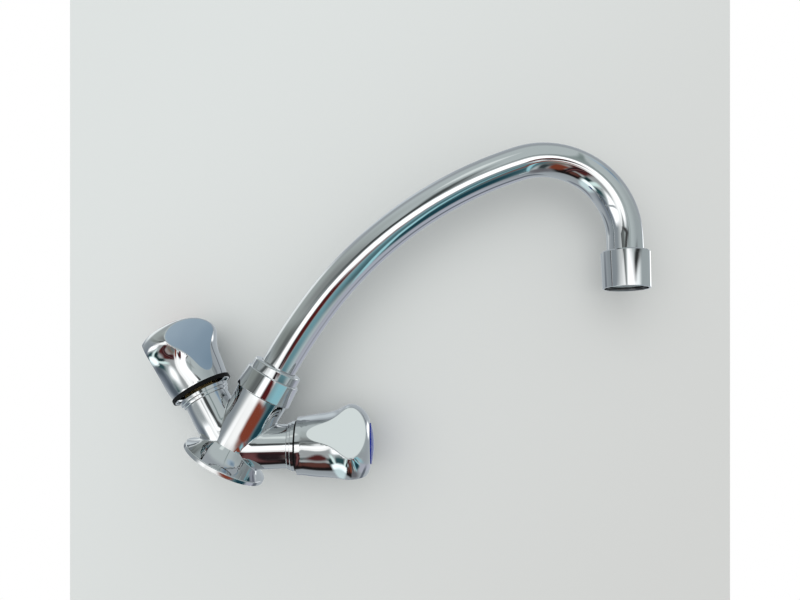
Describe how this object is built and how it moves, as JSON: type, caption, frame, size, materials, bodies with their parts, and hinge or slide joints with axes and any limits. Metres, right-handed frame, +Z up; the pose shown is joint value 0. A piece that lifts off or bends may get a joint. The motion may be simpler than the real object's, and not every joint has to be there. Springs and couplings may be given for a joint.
{
  "type": "two-handle kitchen mixer tap",
  "caption": "Chrome kitchen mixer on a round base: two leaning arms with three-lobed knobs and working screw-down valves, and a swan-neck spout that swivels.",
  "frame": {"origin": "centre of the round base's underside, on the deck face", "axes": "+Z up the column, which is the spout's swivel axis; +X towards the outlet at rest and over the cold arm; -Y towards the user"},
  "size_m": [0.2368, 0.0483, 0.2569],
  "materials": {
    "chrome_casting": "mirror-polished chrome plate on a brass casting",
    "chrome_turned": "mirror-polished chrome plate on turned brass",
    "chrome_tube": "mirror-polished chrome plate on bent tube",
    "chrome_knob": "mirror-polished chrome plate on a cast knob",
    "brass": "turned brass, unplated",
    "spring_steel": "plain stainless steel",
    "screen_steel": "dull stainless screen",
    "rubber_black": "smooth black rubber",
    "glide_plastic": "plain off-white low-friction plastic",
    "aerator_plastic": "black moulded plastic",
    "index_blue": "glossy blue domed button",
    "index_red": "glossy red domed button"
  },
  "bodies": {
    "body": {"mixer_body": "chrome_casting", "base_seal": "rubber_black", "lower_glide_ring": "glide_plastic", "upper_glide_ring": "glide_plastic", "collar_nut": "chrome_turned", "cold_bonnet": "brass", "cold_bonnet_seal": "rubber_black", "cold_trim_ring": "chrome_turned", "cold_skirt_seal": "rubber_black", "hot_bonnet": "brass", "hot_bonnet_seal": "rubber_black", "hot_trim_ring": "chrome_turned"},
    "spout": {"spout_sleeve": "brass", "spout_seals": "rubber_black", "spout_tube": "chrome_tube", "spout_ferrule": "chrome_turned", "aerator_washer": "rubber_black", "aerator_shell": "aerator_plastic", "aerator_insert": "aerator_plastic", "aerator_screen": "screen_steel"},
    "cold_handle": {"cold_knob": "chrome_knob", "cold_index_button": "index_blue", "cold_knob_screw": "spring_steel", "cold_spindle": "brass", "cold_spindle_seals": "rubber_black", "cold_spindle_clip": "spring_steel"},
    "cold_valve": {"cold_valve_piston": "brass", "cold_valve_washer": "rubber_black", "cold_washer_screw": "spring_steel"},
    "hot_handle": {"hot_knob": "chrome_knob", "hot_index_button": "index_red", "hot_knob_screw": "spring_steel", "hot_spindle": "brass", "hot_spindle_seals": "rubber_black", "hot_spindle_clip": "spring_steel", "hot_skirt_seal": "rubber_black"},
    "hot_valve": {"hot_valve_piston": "brass", "hot_valve_washer": "rubber_black", "hot_washer_screw": "spring_steel"}
  },
  "joints": [
    {"name": "spout_swivel", "type": "hinge", "parent": "body", "child": "spout", "pos_m": [0, 0, 0.051], "axis": [0, 0, 1], "continuous": true},
    {"name": "cold_knob_turn", "type": "hinge", "parent": "body", "child": "cold_handle", "pos_m": [0, 0, 0.00935], "axis": [0.8624, 0.0422, 0.5045], "range_deg": [0, 900]},
    {"name": "cold_valve_lift", "type": "slide", "parent": "body", "child": "cold_valve", "axis": [0.8624, 0.0422, 0.5045], "range_m": [0, 0.00501]},
    {"name": "hot_knob_turn", "type": "hinge", "parent": "body", "child": "hot_handle", "pos_m": [0, 0, 0.00935], "axis": [-0.8624, 0.0422, 0.5045], "range_deg": [0, 900]},
    {"name": "hot_valve_lift", "type": "slide", "parent": "body", "child": "hot_valve", "axis": [-0.8624, 0.0422, 0.5045], "range_m": [0, 0.00501]}
  ],
  "couplings": [
    {"joint": "cold_valve_lift", "follows": "cold_knob_turn", "m_per_rad": 0.00031831},
    {"joint": "hot_valve_lift", "follows": "hot_knob_turn", "m_per_rad": 0.00031831}
  ]
}
